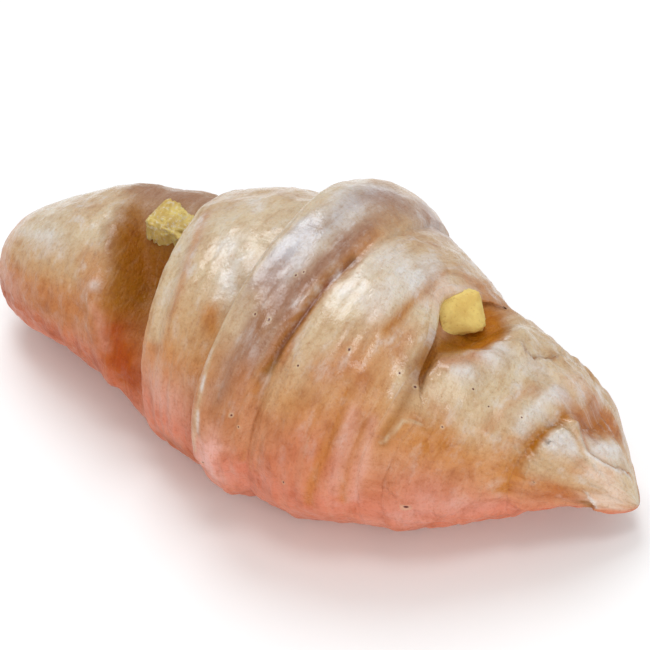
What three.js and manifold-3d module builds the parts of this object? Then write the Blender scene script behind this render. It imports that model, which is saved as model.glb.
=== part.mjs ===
// A glazed, filled croissant: dough rolled into overlapping wraps, with a soft filling that runs through
// the roll and shows in a pocket on each side of the middle band.
// Millimetres, +Z up. X runs along the roll, the front is -Y, and the flat base lies on Z = 0.
// Angles go round the roll in degrees: front 0, top 90, back 180, underside 270.

import * as THREE from "three";
import { ParametricGeometry } from "three/addons/geometries/ParametricGeometry.js";
import { mergeVertices } from "three/addons/utils/BufferGeometryUtils.js";
import Module from "manifold-3d";

// Driving dimensions of the roll
const LEFT_LENGTH = 75;
const RIGHT_LENGTH = 67.4;
const AXIS_HEIGHT = 21;
const LEFT_DROP = 6.5;
const RIGHT_DROP = 14.5;
const BOW = 5;
const FLATNESS = 0.8;

// Each wrap at its left edge, middle and right edge: its half width, the share by which its lower front is
// tucked in, and the share by which its upper back leans in.
const LEFT_END = { girth: [21.4, 21.6, 24.2], tuck: [-0.38, 0.06, -0.3], lean: [0.33, -0.05, 0.05] };
const LEFT_SHOULDER = { girth: [26.6, 31.2, 32.1], tuck: [-0.14, 0, -0.03], lean: [0, 0, 0] };
const BAND = { girth: [37.7, 37, 35], tuck: [0.27, 0.1, 0.1], lean: [0, -0.05, 0.01] };
const RIGHT_SHOULDER = { girth: [35, 35.4, 31.4], tuck: [0.06, 0.1, 0.19], lean: [0.05, 0.17, 0.22] };
const RIGHT_NECK = { girth: [28.5, 25.6, 16], tuck: [0.12, 0.24, 0.38], lean: [0.15, 0.18, -0.12] };
const RIGHT_END = { girth: [19, 13.2, 10.4], tuck: [0.66, 0.8, 0.75], lean: [0.03, -0.14, 0.15] };
const TUCK = { angle: -66, spread: 48 };
const RIGHT_END_TUCK = { angle: -75, spread: 62 };
const LEAN = { angle: 140, spread: 48 };
const LEFT_BLUNTNESS = 2.6;
const RIGHT_BLUNTNESS = { front: 1.85, back: 1.6, angle: 125, spread: 60 };

// Shapes of the wraps' edges along the roll
const CLIMB_START = -60;
const CLIMB_END = 140;
const LEFT_LIP = { x: -21.5, climb: -8.5, power: 2.2, dip: { height: 2, angle: 130, spread: 30 } };
const BAND_LIP = { x: -4.5, sway: 1 };
const BAND_VALLEY = { x: 4.2, climb: 9 };
const END_LIP = { x: 49.8, sweep: { height: 6, angle: 105, spread: 42 } };
const RIGHT_LIP = {
  x: 29,
  waves: [
    { height: 2.3, angle: 45, spread: 16 },
    { height: 1.3, angle: 68, spread: 14 },
    { height: -2.4, angle: 94, spread: 14 },
    { height: 4, angle: 124, spread: 14 },
  ],
};
const OVERRUN = 0.3;

// Pockets beside the wraps, where the filling shows
const RECESS = { depth: 9.5, angle: 52, spread: 48, starts: 0.8, slant: 0.0021, until: 120, slope: 0.18 };
const POCKET = { depth: 6, angle: 92, spread: 36, x: 30.5, slant: 0.08, reach: 9.5, floor: 0.1 };

// The right end sinks toward the neck on its upper side; reach is a share of the end's length.
const END_SADDLE = { depth: 3, angle: 104, spread: 26, reach: 0.6 };

// Lips where a wrap laps over its neighbour: radius of the rolled edge, and the gap that runs in under it.
// A lip is open where it stands well above its neighbour, and shuts to a plain step where it doesn't.
// The right lip is open over its pocket and grown together with the neck below and behind it, and the
// right end is grown together with the neck all round.
const LIP_RADIUS = 1.3;
const RIGHT_LIP_RADIUS = 2;
const LIP_UNDERCUT = 3;
const LIP_GAP = 0.6;
const LIP_SHUT = 0.3;
const LIP_OPEN = 1.8;
const STEP_WIDTH = 1.6;
const RIGHT_STEP_WIDTH = 4.5;
const END_STEP_WIDTH = 2.6;
const RIGHT_LIP_OPEN = { start: 44, full: 62, closing: 112, shut: 130 };
const STEP_SHARE = 0.3;
const NOSE_TURNS = [45, 0, -45, -90];

// Folds of the skin: a path of [x, angle] points, with the width and height of its ridge or hollow
const FOLDS = [
  { name: "collar", width: 2.6, height: 1.6, path: [[-40, 39], [-37.3, 27], [-33.2, 0], [-32.7, -17]] },
  { name: "left rim", width: 1.8, height: -0.7, path: [[-26, 90], [-21.5, 60], [-19.5, 40], [-18.5, -25]] },
  { name: "right rim", width: 2, height: -0.7, path: [[25, 80], [26, 60], [27, 45], [26, 25]] },
  { name: "neck lap", width: 3.5, height: 1.7, path: [[33, -50], [31.5, -15], [32, 8]] },
  { name: "neck ridge", width: 2.4, height: 1.3, path: [[47.5, 20], [47.4, 50], [49, 74], [51.5, 100]] },
  {
    name: "tip fold",
    width: 1.2,
    height: 0.9,
    path: [[55.4, 80], [57, 72], [58.2, 69.5], [61, 71], [63, 78]],
  },
  { name: "tip dent", width: 3.2, height: -1.8, path: [[56.4, 90], [57.2, 103], [57.9, 112]] },
  { name: "tip bulge", width: 2.4, height: 0.9, path: [[59.8, 82], [61.6, 96]] },
  { name: "tip notch", width: 3.2, height: -4.2, path: [[57.4, -10], [59.4, -10]] },
  { name: "tip hollow", width: 3.5, height: -0.8, path: [[53, 112], [55, 128]] },
  { name: "end valley", width: 1.6, height: -0.8, path: [[53.4, 83], [50.6, 61], [48.9, 28], [48.1, 15]] },
  {
    name: "pocket rim",
    width: 2.2,
    height: 0.9,
    path: [[39, 108], [41.5, 93], [40, 80], [35.5, 64], [33, 57]],
  },
  { name: "neck lump 1", width: 2, height: 0.9, path: [[36.2, 64], [37.8, 66.5]] },
  { name: "neck lump 2", width: 1.9, height: 0.9, path: [[39.6, 80], [40.6, 82]] },
  { name: "back arch", width: 6, height: 0.8, path: [[-50, 112], [-40, 122], [-33, 128]] },
];
const FOLD_MM_PER_DEGREE = 0.42;

// Torn layers of the skin, whose edge follows a path of [x, angle] points. The skin is raised on the left of
// the path and falls away to its own level over the width.
const FLAKES = [
  {
    name: "tip flap",
    height: 2,
    width: 3.6,
    path: [[65.4, 104], [64.8, 95], [63, 80], [61, 73], [58.1, 70], [57.1, 73], [55.6, 79], [55, 85]],
  },
  {
    name: "end edge",
    height: 1.6,
    width: 2.5,
    path: [[54.2, 71], [53.3, 68], [52.6, 56], [51.5, 48], [49.9, 34]],
  },
  { name: "tail edge", height: 1, width: 3, path: [[59.9, 36], [61.1, 26], [61.8, 4], [62.2, -14]] },
  { name: "lip flake", height: 1.2, width: 3, path: [[29.2, 28], [30.3, 33], [31.3, 39.5], [34, 40]] },
];
const FLAKE_EDGE = 0.6;
const FLAKE_END = 1.2;

// Long, low waves that make the skin uneven: radians for each millimetre along and each turn round the roll
const UNEVENNESS = 0.35;
const UNEVEN_WAVES = [
  { along: 0.21, round: 2, start: 1 },
  { along: -0.13, round: 3, start: 0 },
];

// Filling: a soft log whose swollen ends stand in the two pockets
const FILLING_PATH = new THREE.CubicBezierCurve3(
  new THREE.Vector3(-38.8, 3.2, 35),
  new THREE.Vector3(-10, 3, 30),
  new THREE.Vector3(23.2, 12, 29),
  new THREE.Vector3(29.5, 3.6, 38.2),
);
const FILLING_HALF_WIDTH = 3.7;
const FILLING_HALF_HEIGHT = 3.5;
const FILLING_SQUARENESS = 0.45;
const FILLING_ROUNDING = 2;
const FILLING_CLEARANCE = 0.3;
const FILLING_LUMPS = [
  { height: 0.06, round: 3, along: 7.4 },
  { height: 0.05, round: 2, along: -3.3 },
];
const FILLING_SWELLS = [
  { at: 0.02, spread: 0.05, swell: 0.05 },
  { at: 0.95, spread: 0.06, swell: 0.05 },
];
const FILLING_LOBE = { height: 0.45, at: 0.95, reach: 0.03, angle: 200, spread: 45 };

// Mesh density
const ROW_COUNTS = {
  leftEnd: 21,
  leftShoulder: 10,
  band: 10,
  rightShoulder: 13,
  rightNeck: 15,
  rightEnd: 12,
};
const COLUMNS = 56;
const UNDER_COLUMNS = 6;
const UNDER_START = 236;
const UNDER_END = 304;
const FILLING_COLUMNS = 20;
const FILLING_ROWS = 26;
const WELD = 1e-3;

const { clamp, smoothstep, lerp, degToRad, radToDeg, euclideanModulo } = THREE.MathUtils;
const UP = new THREE.Vector3(0, 0, 1);

// The roll's axis sinks and bows to the back toward both ends.
function axisAt(x) {
  const share = x < 0 ? x / LEFT_LENGTH : x / RIGHT_LENGTH;
  const drop = x < 0 ? LEFT_DROP : RIGHT_DROP;
  return { y: BOW * share ** 2, z: AXIS_HEIGHT - drop * share ** 2 };
}

// A smooth swell of height 1 round the roll
function hump(at, { angle, spread }) {
  const gap = euclideanModulo(at - angle + 180, 360) - 180;
  return Math.exp(-((gap / spread) ** 2));
}

// Rises from 0 under the front to 1 at the upper back, and falls again underneath.
function climb(angle) {
  const turn = euclideanModulo(angle - CLIMB_START, 360);
  const rise = CLIMB_END - CLIMB_START;
  const half = turn < rise ? turn / rise : 1 + (turn - rise) / (360 - rise);
  return 0.5 - 0.5 * Math.cos(Math.PI * half);
}

// Where the wraps end along the roll
const leftTip = () => -LEFT_LENGTH;
const leftLip = (angle) => {
  const { x, climb: rise, power, dip } = LEFT_LIP;
  return x + rise * climb(angle) ** power + dip.height * hump(angle, dip);
};
const bandLip = (angle) => BAND_LIP.x + BAND_LIP.sway * Math.sin(degToRad(angle));
const bandValley = (angle) => BAND_VALLEY.x + BAND_VALLEY.climb * climb(angle);
const rightLip = (angle) =>
  RIGHT_LIP.waves.reduce((x, wave) => x + wave.height * hump(angle, wave), RIGHT_LIP.x);
const endLip = (angle) => END_LIP.x + END_LIP.sweep.height * hump(angle, END_LIP.sweep);
const rightTip = () => RIGHT_LENGTH;

function between(x, angle, from, to) {
  return (x - from(angle)) / (to(angle) - from(angle));
}

function arch(share, [start, middle, end]) {
  return lerp(start, end, share) + 4 * (middle - 0.5 * (start + end)) * share * (1 - share);
}

function onSkin([along, round]) {
  return new THREE.Vector2(along, round * FOLD_MM_PER_DEGREE);
}

// The gap to a path over the skin, the side of it (+1 left, -1 right), and how far past its ends a place lies
function nearestOnPath(x, angle, path) {
  const here = onSkin([x, angle]);
  const nearest = { gap: Infinity, side: 0, past: 0 };
  path.slice(1).forEach((point, k) => {
    const from = onSkin(path[k]);
    const run = onSkin(point).sub(from);
    const off = here.clone().sub(from);
    const share = off.dot(run) / run.lengthSq();
    const gap = off.distanceTo(run.clone().multiplyScalar(clamp(share, 0, 1)));
    if (gap >= nearest.gap) return;
    const before = k === 0 ? Math.max(-share, 0) : 0;
    const after = k === path.length - 2 ? Math.max(share - 1, 0) : 0;
    Object.assign(nearest, { gap, side: Math.sign(run.cross(off)), past: (before + after) * run.length() });
  });
  return nearest;
}

function flakeHeight(x, angle, { height, width, path }) {
  const { gap, side, past } = nearestOnPath(x, angle, path);
  const raised = side * gap;
  const slope = Math.exp(-Math.max(raised, 0) / width) * smoothstep(raised, -FLAKE_EDGE, FLAKE_EDGE);
  return height * slope * Math.exp(-((past / FLAKE_END) ** 2));
}

function relief(x, angle) {
  const turn = degToRad(angle);
  let height = UNEVENNESS;
  for (const { along, round, start } of UNEVEN_WAVES) {
    height *= Math.sin(along * x + round * turn + start);
  }
  for (const fold of FOLDS) {
    height += fold.height * Math.exp(-((nearestOnPath(x, angle, fold.path).gap / fold.width) ** 2));
  }
  for (const flake of FLAKES) {
    height += flakeHeight(x, angle, flake);
  }
  return height;
}

// Half width of a wrap's skin
function wrapGirth({ girth, tuck, lean }, share, x, angle, tuckAt = TUCK) {
  const tucked = arch(share, tuck) * hump(angle, tuckAt);
  const leant = arch(share, lean) * hump(angle, LEAN);
  return arch(share, girth) * (1 - tucked) * (1 - leant) + relief(x, angle);
}

function leftEnd(x, angle) {
  const share = clamp(between(x, angle, leftTip, leftLip), 0, 1 + OVERRUN);
  const dome = (1 - Math.max(1 - share, 0) ** LEFT_BLUNTNESS) ** (1 / LEFT_BLUNTNESS);
  const border = RECESS.starts - RECESS.slant * clamp(angle, 0, RECESS.until);
  const hollow = hump(angle, RECESS) * smoothstep(share, border, border + RECESS.slope);
  return wrapGirth(LEFT_END, share, x, angle) * dome - RECESS.depth * hollow;
}

function leftShoulder(x, angle) {
  return wrapGirth(LEFT_SHOULDER, between(x, angle, leftLip, bandLip), x, angle);
}

function band(x, angle) {
  return wrapGirth(BAND, between(x, angle, bandLip, bandValley), x, angle);
}

function rightShoulder(x, angle) {
  return wrapGirth(RIGHT_SHOULDER, between(x, angle, bandValley, rightLip), x, angle);
}

function rightNeck(x, angle) {
  const turn = angle - POCKET.angle;
  const along = (x - POCKET.x - POCKET.slant * turn) / POCKET.reach;
  const hollow = 1 - smoothstep(Math.hypot(along, turn / POCKET.spread), POCKET.floor, 1);
  return wrapGirth(RIGHT_NECK, between(x, angle, rightLip, endLip), x, angle) - POCKET.depth * hollow;
}

function rightEnd(x, angle) {
  const share = clamp(between(x, angle, endLip, rightTip), -OVERRUN, 1);
  const blunt = lerp(RIGHT_BLUNTNESS.front, RIGHT_BLUNTNESS.back, hump(angle, RIGHT_BLUNTNESS));
  const dome = (1 - Math.max(share, 0) ** blunt) ** (1 / blunt);
  const saddle = hump(angle, END_SADDLE) * (1 - smoothstep(share, 0, END_SADDLE.reach));
  return wrapGirth(RIGHT_END, share, x, angle, RIGHT_END_TUCK) * dome - END_SADDLE.depth * saddle;
}

// Rows of skin between two edges. Each row gives { x, reach } at an angle.
function skinRows(wrap, from, to, count) {
  return Array.from({ length: count }, (_, k) => (angle) => {
    const x = lerp(from(angle), to(angle), k / (count - 1));
    return { x, reach: wrap(x, angle) };
  });
}

// A lip's rolled edge and the roof of the gap under it, with the places where the outer and the inner
// skin meet it. Side is -1 for a lip that faces the left end and +1 for one that faces the right end.
function makeLip(edge, side, outer, inner, nose = LIP_RADIUS, stepWidth = STEP_WIDTH, loose = () => 1) {
  const stepAt = (x, angle) => outer(x, angle) - inner(x, angle);
  const opening = (angle) => loose(angle) * smoothstep(stepAt(edge(angle), angle), LIP_SHUT, LIP_OPEN);
  const within = (size, x, angle) => Math.min(size, STEP_SHARE * Math.max(stepAt(x, angle), LIP_SHUT));
  const radius = (angle) => within(nose, edge(angle), angle);
  const outerEdge = (angle) => edge(angle) - side * lerp(stepWidth / 2, radius(angle), opening(angle));
  const innerEdge = (angle) => edge(angle) + side * lerp(stepWidth / 2, -LIP_UNDERCUT, opening(angle));
  const rolled = (turn, angle) => {
    const r = radius(angle);
    const x = edge(angle) - side * r;
    return {
      x: x + side * r * Math.cos(degToRad(turn)),
      reach: outer(x, angle) - r + r * Math.sin(degToRad(turn)),
    };
  };
  const roof = (angle) => {
    const x = edge(angle) - side * LIP_UNDERCUT;
    return { x, reach: inner(x, angle) + within(LIP_GAP, x, angle) };
  };
  const opened = [...NOSE_TURNS.map((turn) => (angle) => rolled(turn, angle)), roof];
  const rows = opened.map((row, k) => (angle) => {
    const share = (k + 1) / (opened.length + 1);
    const shutX = edge(angle) + side * stepWidth * (share - 0.5);
    const shutReach = lerp(outer(outerEdge(angle), angle), inner(innerEdge(angle), angle), share);
    const { x, reach } = row(angle);
    return { x: lerp(shutX, x, opening(angle)), reach: lerp(shutReach, reach, opening(angle)) };
  });
  return { outerEdge, innerEdge, rows: side > 0 ? rows : rows.reverse() };
}

const leftFold = makeLip(leftLip, -1, leftShoulder, leftEnd);
const bandFold = makeLip(bandLip, -1, band, leftShoulder);
const rightLoose = (angle) => {
  const { start, full, closing, shut } = RIGHT_LIP_OPEN;
  return smoothstep(angle, start, full) * (1 - smoothstep(angle, closing, shut));
};
const rightFold = makeLip(
  rightLip,
  1,
  rightShoulder,
  rightNeck,
  RIGHT_LIP_RADIUS,
  RIGHT_STEP_WIDTH,
  rightLoose,
);
const endFold = makeLip(endLip, -1, rightEnd, rightNeck, LIP_RADIUS, END_STEP_WIDTH, () => 0);

// All the rows of the dough's skin, from the left end to the right end
const ROWS = [
  ...skinRows(leftEnd, leftTip, leftFold.innerEdge, ROW_COUNTS.leftEnd),
  ...leftFold.rows,
  ...skinRows(leftShoulder, leftFold.outerEdge, bandFold.innerEdge, ROW_COUNTS.leftShoulder),
  ...bandFold.rows,
  ...skinRows(band, bandFold.outerEdge, bandValley, ROW_COUNTS.band),
  ...skinRows(rightShoulder, bandValley, rightFold.outerEdge, ROW_COUNTS.rightShoulder).slice(1),
  ...rightFold.rows,
  ...skinRows(rightNeck, rightFold.innerEdge, endFold.innerEdge, ROW_COUNTS.rightNeck),
  ...endFold.rows,
  ...skinRows(rightEnd, endFold.outerEdge, rightTip, ROW_COUNTS.rightEnd),
];

// Columns are close together over the skin that shows and wide apart underneath.
function columnAngle(share) {
  const shown = COLUMNS - UNDER_COLUMNS;
  const column = Math.round(share * COLUMNS) % COLUMNS;
  if (column <= shown) return lerp(UNDER_END - 360, UNDER_START, column / shown);
  return lerp(UNDER_START, UNDER_END, (column - shown) / UNDER_COLUMNS);
}

function doughSkin(u, v, target) {
  const angle = columnAngle(v);
  const { x, reach } = ROWS[Math.round(u * (ROWS.length - 1))](angle);
  const turn = degToRad(angle);
  const axis = axisAt(x);
  target.set(x, axis.y - reach * Math.cos(turn), axis.z + FLATNESS * reach * Math.sin(turn));
}

const wasm = await Module();
wasm.setup();

// Joins shared corners and drops the triangles that close up to a point at the two ends of a loft.
function solid(geometry) {
  geometry.deleteAttribute("normal");
  geometry.deleteAttribute("uv");
  const { index, attributes } = mergeVertices(geometry, WELD);
  const corners = [];
  for (let k = 0; k < index.count; k += 3) {
    const [a, b, c] = index.array.slice(k, k + 3);
    if (a !== b && b !== c && c !== a) corners.push(a, b, c);
  }
  return new wasm.Manifold(
    new wasm.Mesh({
      numProp: 3,
      vertProperties: attributes.position.array,
      triVerts: new Uint32Array(corners),
    }),
  );
}

function meshOf(manifold, name, material) {
  const { vertProperties, triVerts } = manifold.getMesh();
  const geometry = new THREE.BufferGeometry();
  geometry.setAttribute("position", new THREE.BufferAttribute(vertProperties, 3));
  geometry.setIndex(new THREE.BufferAttribute(triVerts, 1));
  geometry.computeVertexNormals();
  const mesh = new THREE.Mesh(geometry, material);
  mesh.name = name;
  return mesh;
}

// The filling's log, grown on all sides by a margin
function fillingSolid(margin) {
  const length = FILLING_PATH.getLength();
  const side = new THREE.Vector3();
  const above = new THREE.Vector3();
  const squared = (value) => Math.sign(value) * Math.abs(value) ** FILLING_SQUARENESS;
  const skin = (u, v, target) => {
    const row = Math.round(u * FILLING_ROWS);
    const angle = (2 * Math.PI * (Math.round(v * FILLING_COLUMNS) % FILLING_COLUMNS)) / FILLING_COLUMNS;
    const share = 0.5 - 0.5 * Math.cos((Math.PI * row) / FILLING_ROWS);
    const inset = Math.min(share, 1 - share) * length;
    const cap = Math.sqrt(1 - Math.max(1 - inset / FILLING_ROUNDING, 0) ** 2);
    let lump = 1;
    for (const { height, round, along } of FILLING_LUMPS) {
      lump += height * Math.sin(round * angle + along * share);
    }
    for (const { at, spread, swell } of FILLING_SWELLS) {
      lump += swell * Math.exp(-(((share - at) / spread) ** 4));
    }
    const lobe = FILLING_LOBE.height * hump(radToDeg(angle), FILLING_LOBE);
    lump += lobe * Math.exp(-(((share - FILLING_LOBE.at) / FILLING_LOBE.reach) ** 2));
    const ahead = FILLING_PATH.getTangent(share);
    side.crossVectors(UP, ahead).normalize();
    above.crossVectors(ahead, side);
    FILLING_PATH.getPoint(share, target);
    target.addScaledVector(ahead, inset < FILLING_ROUNDING ? margin * Math.sign(share - 0.5) : 0);
    target.addScaledVector(side, -cap * (FILLING_HALF_WIDTH * lump + margin) * squared(Math.cos(angle)));
    target.addScaledVector(above, cap * (FILLING_HALF_HEIGHT * lump + margin) * squared(Math.sin(angle)));
  };
  return solid(new ParametricGeometry(skin, FILLING_ROWS, FILLING_COLUMNS));
}

function doughSolid() {
  const skin = new ParametricGeometry(doughSkin, ROWS.length - 1, COLUMNS);
  const side = 4 * LEFT_LENGTH;
  const below = new THREE.BoxGeometry(side, side, side).translate(0, 0, -side / 2);
  return solid(skin).subtract(solid(below)).subtract(fillingSolid(FILLING_CLEARANCE));
}

const crust = new THREE.MeshStandardMaterial({ color: 0xd2aa82, roughness: 0.35, metalness: 0 });
const cream = new THREE.MeshStandardMaterial({ color: 0xe1c864, roughness: 0.6, metalness: 0 });
const croissant = new THREE.Group();
croissant.add(meshOf(doughSolid(), "dough", crust));
croissant.add(meshOf(fillingSolid(0), "filling", cream));

// The origin is under the middle of the whole piece.
const middle = new THREE.Box3().setFromObject(croissant).getCenter(new THREE.Vector3());
croissant.position.set(-middle.x, -middle.y, 0);

export default croissant;
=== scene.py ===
"""Looks of a glazed, filled croissant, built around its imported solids.

The dough and the filling are made again from the sizes of their solids, on a mesh fine enough for wrinkles,
flakes and pores, and painted by strokes that follow the roll.
Shapes are worked out in millimetres on the roll: x along it, and an angle round it in degrees, with the
front at 0, the top at 90, the back at 180 and the underside at 270.
"""

import math

import bmesh
import bpy
import numpy as np
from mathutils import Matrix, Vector


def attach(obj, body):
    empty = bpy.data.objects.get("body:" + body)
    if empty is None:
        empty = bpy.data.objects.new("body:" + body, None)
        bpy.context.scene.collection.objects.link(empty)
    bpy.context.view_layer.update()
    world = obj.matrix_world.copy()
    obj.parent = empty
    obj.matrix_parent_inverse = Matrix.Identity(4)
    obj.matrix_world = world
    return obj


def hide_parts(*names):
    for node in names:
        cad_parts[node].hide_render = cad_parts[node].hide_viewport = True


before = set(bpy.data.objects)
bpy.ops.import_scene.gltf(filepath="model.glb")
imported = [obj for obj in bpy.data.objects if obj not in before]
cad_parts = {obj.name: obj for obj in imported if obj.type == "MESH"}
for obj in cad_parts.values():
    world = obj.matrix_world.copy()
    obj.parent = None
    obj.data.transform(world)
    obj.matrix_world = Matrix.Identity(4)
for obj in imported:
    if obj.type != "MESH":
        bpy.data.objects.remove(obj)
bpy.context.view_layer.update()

MM = 0.001

# The roll, as in the solids
LEFT_LENGTH = 75.0
RIGHT_LENGTH = 67.4
AXIS_HEIGHT = 21.0
LEFT_DROP = 6.5
RIGHT_DROP = 14.5
BOW = 5.0
FLATNESS = 0.8
ROLL_ORIGIN = (3.8, -0.79, 0.0)

# Each wrap: its mean width along the roll, and at its left edge, middle and right edge its half girth,
# the tuck of its lower front and the lean of its upper back
LEFT_END = (48.0, (21.4, 21.6, 24.2), (-0.38, 0.06, -0.3), (0.33, -0.05, 0.05))
LEFT_SHOULDER = (20.0, (26.6, 31.2, 32.1), (-0.14, 0.0, -0.03), (0.0, 0.0, 0.0))
BAND = (13.0, (37.7, 37.0, 35.0), (0.27, 0.1, 0.1), (0.0, -0.05, 0.01))
RIGHT_SHOULDER = (21.0, (35.0, 35.4, 31.4), (0.06, 0.1, 0.19), (0.05, 0.17, 0.22))
RIGHT_NECK = (21.0, (28.5, 25.6, 16.0), (0.12, 0.24, 0.38), (0.15, 0.18, -0.12))
RIGHT_END = (15.0, (19.0, 13.2, 10.4), (0.66, 0.8, 0.75), (0.03, -0.14, 0.15))

# Where wraps are tucked in and lean: angle and spread
TUCK = (-66.0, 48.0)
RIGHT_END_TUCK = (-75.0, 62.0)
LEAN = (140.0, 48.0)

# How blunt the ends are, from 1 for a cone to 2 for a ball and above
LEFT_BLUNTNESS = 2.6
RIGHT_BLUNTNESS = {"front": 1.85, "back": 1.6, "at": (125.0, 60.0)}

# Edges of the wraps
CLIMB_START = -60.0
CLIMB_END = 140.0
LEFT_LIP = {"x": -21.5, "climb": -8.5, "power": 2.2, "dip": (2.0, 130.0, 30.0)}
BAND_LIP = {"x": -4.5, "sway": 1.0}
BAND_VALLEY = {"x": 4.2, "climb": 9.0}
END_LIP = {"x": 49.8, "sweep": (6.0, 105.0, 42.0)}
RIGHT_LIP_X = 29.0
RIGHT_LIP_WAVES = ((2.3, 45.0, 16.0), (1.3, 68.0, 14.0), (-2.4, 94.0, 14.0), (4.0, 124.0, 14.0))
OVERRUN = 0.3

# Pockets beside the wraps
RECESS = {"depth": 9.5, "at": (52.0, 48.0), "starts": 0.8, "slant": 0.0021, "until": 120.0, "slope": 0.18}
POCKET = {"depth": 6.0, "at": (92.0, 36.0), "x": 30.5, "slant": 0.08, "reach": 9.5, "floor": 0.1}

# The right end sinks to the neck on its upper side: depth, angle and spread, and share of its length
END_SADDLE = {"depth": 3.0, "at": (104.0, 26.0), "reach": 0.6}

# Lips: rolled radius, depth and height of the gap below, step at which they are shut and open, width of shut
# ones, share of the step that radius and gap may take up, and angles where the right one opens and shuts
LIP_RADIUS = 1.3
RIGHT_LIP_RADIUS = 2.0
LIP_UNDERCUT = 3.0
LIP_GAP = 0.6
LIP_SHUT = 0.3
LIP_OPEN = 1.8
STEP_WIDTH = 1.6
STEP_SHARE = 0.3
SOFT_STEP_WIDTH = 4.5
END_STEP_WIDTH = 2.6
RIGHT_LIP_LOOSE = (44.0, 62.0, 112.0, 130.0)

# Painted shade, with some browning, in the crease under a lip: its reach over the skin, and where it starts
# and is full round the lip
CREASE_SHADE_WIDTH = 1.0
CREASE_SHADE_TURN = (0.35, 0.9)

# Folds of the skin: width, height and path of (x, angle) points
FOLDS = {
    "collar": (2.6, 1.6, ((-40, 39), (-37.3, 27), (-33.2, 0), (-32.7, -17))),
    "left rim": (1.8, -0.7, ((-26, 90), (-21.5, 60), (-19.5, 40), (-18.5, -25))),
    "right rim": (2.0, -0.7, ((25, 80), (26, 60), (27, 45), (26, 25))),
    "neck lap": (3.5, 1.7, ((33, -50), (31.5, -15), (32, 8))),
    "neck ridge": (2.4, 1.3, ((47.5, 20), (47.4, 50), (49, 74), (51.5, 100))),
    "tip fold": (1.2, 0.9, ((55.4, 80), (57, 72), (58.2, 69.5), (61, 71), (63, 78))),
    "tip hollow": (3.5, -0.8, ((53, 112), (55, 128))),
    "back arch": (6.0, 0.8, ((-50, 112), (-40, 122), (-33, 128))),
    "pocket rim": (2.2, 0.9, ((39, 108), (41.5, 98), (41.5, 88), (40, 80), (38, 72), (35.5, 64), (33, 57))),
    "tip notch": (3.2, -4.2, ((57.4, -10), (59.4, -10))),
    "tip dent": (3.2, -1.8, ((56.4, 90), (57.2, 103), (57.9, 112))),
    "tip bulge": (2.4, 0.9, ((59.8, 82), (61.6, 96))),
    "neck lump 1": (2.0, 0.9, ((36.2, 64), (37.8, 66.5))),
    "neck lump 2": (1.9, 0.9, ((39.6, 80), (40.6, 82))),
    "band crease": (0.8, -0.8, ((11.2, 98), (10.9, 84), (9.4, 67), (7.9, 48), (7.2, 31), (6.7, 15),
                                (5.4, -3))),
    "band line 1": (0.5, -0.35, ((9.3, 48), (8.7, 31), (8.2, 15), (7, -3))),
    "band line 2": (0.5, -0.3, ((10.8, 44), (10.2, 31), (9.6, 15), (8.5, -3))),
    "lip groove": (0.9, -0.7, ((30.6, 62), (31, 52), (30.9, 44), (30.2, 36), (29.6, 27))),
    "belly crease 1": (0.9, -0.5, ((21.5, 41), (21.6, 30), (21.2, 19), (19, -7))),
    "belly crease 2": (0.8, -0.45, ((25.2, 34), (24.8, 25), (24.7, -3))),
    "belly crease 3": (0.8, -0.45, ((27.6, 30), (27.1, 18), (26.4, -8))),
    "belly fold 1": (0.9, 0.35, ((24.1, 36), (24.2, 21), (23.5, 2))),
    "belly fold 2": (0.9, 0.35, ((29.2, 32), (29.6, 19), (28.7, -1))),
    "neck crease 1": (0.9, -0.4, ((43.2, 42), (43, 25), (42.2, 12))),
    "neck crease 2": (0.8, -0.35, ((39, 46), (38.2, 30), (37, 16))),
    "end valley": (1.6, -0.8, ((53.4, 83), (51.8, 73), (50.6, 61), (49.6, 44), (48.9, 28), (48.1, 15))),
}
FOLD_MM_PER_DEGREE = 0.42

# Slow waves of the whole skin: height, then turns for each millimetre, turns round the roll and start
UNEVENNESS = 0.35
UNEVEN_WAVES = ((0.21, 2, 1), (-0.13, 3, 0))

# Mesh density
COLUMNS = 270
FRONT_START = -62.0
FRONT_END = 152.0
FRONT_COLUMNS = 196
LIP_ROWS = 9
ROW_COUNTS = {"left end": 86, "left shoulder": 48, "band": 36, "right shoulder": 46, "right neck": 50,
              "right end": 44}
TIP_CROWDING = 1.5

# Fine relief of the skin: height, length of a bump along the roll, bumps round the roll, and seed
WRINKLES = ((0.42, 2.4, 14, 11), (0.24, 1.2, 30, 12))
DIMPLES = ((0.35, 6.5, 30, 13), (0.26, 3.2, 60, 14), (0.12, 1.6, 120, 15))
LATTICE = 97

# Dimples are deeper on the right neck: share elsewhere, share there, and where along the roll they deepen
DIMPLE_SHARES = (0.85, 1.9)
DIMPLE_DEEPENS = (27.0, 36.0)

# Wrinkles stand deepest on the belly: lowest share, and the angle and spread of the deep stretch
WRINKLE_LEAST = 0.35
WRINKLE_DEEP = (5.0, 45.0)

# Flakes torn off the skin: height, width of the raised side, and path; the raised side is left of the path
FLAKES = {
    "lip flake": (1.2, 3.0, ((29.2, 28), (30.3, 33), (31.3, 39.5), (32.9, 40), (34, 40))),
    "neck crack": (-1.0, 2.0, ((41.6, 99), (42.4, 96), (43.8, 98), (45, 105), (46.2, 113), (46.6, 122))),
    "thin flake": (0.9, 2.0, ((45.5, 61), (46.5, 67), (47.5, 72))),
    "end edge": (1.6, 2.5, ((54.2, 71), (53.3, 68), (52.6, 56), (51.5, 48), (50.4, 42), (49.9, 34))),
    "tip flap": (2.0, 3.6, ((65.4, 104), (64.8, 95), (63, 80), (61, 73), (58.1, 70), (57.1, 73),
                            (55.6, 79), (55, 85))),
    "tail edge": (1.0, 3.0, ((59.9, 36), (61.1, 26), (61.8, 4), (62.2, -14))),
}

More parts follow.
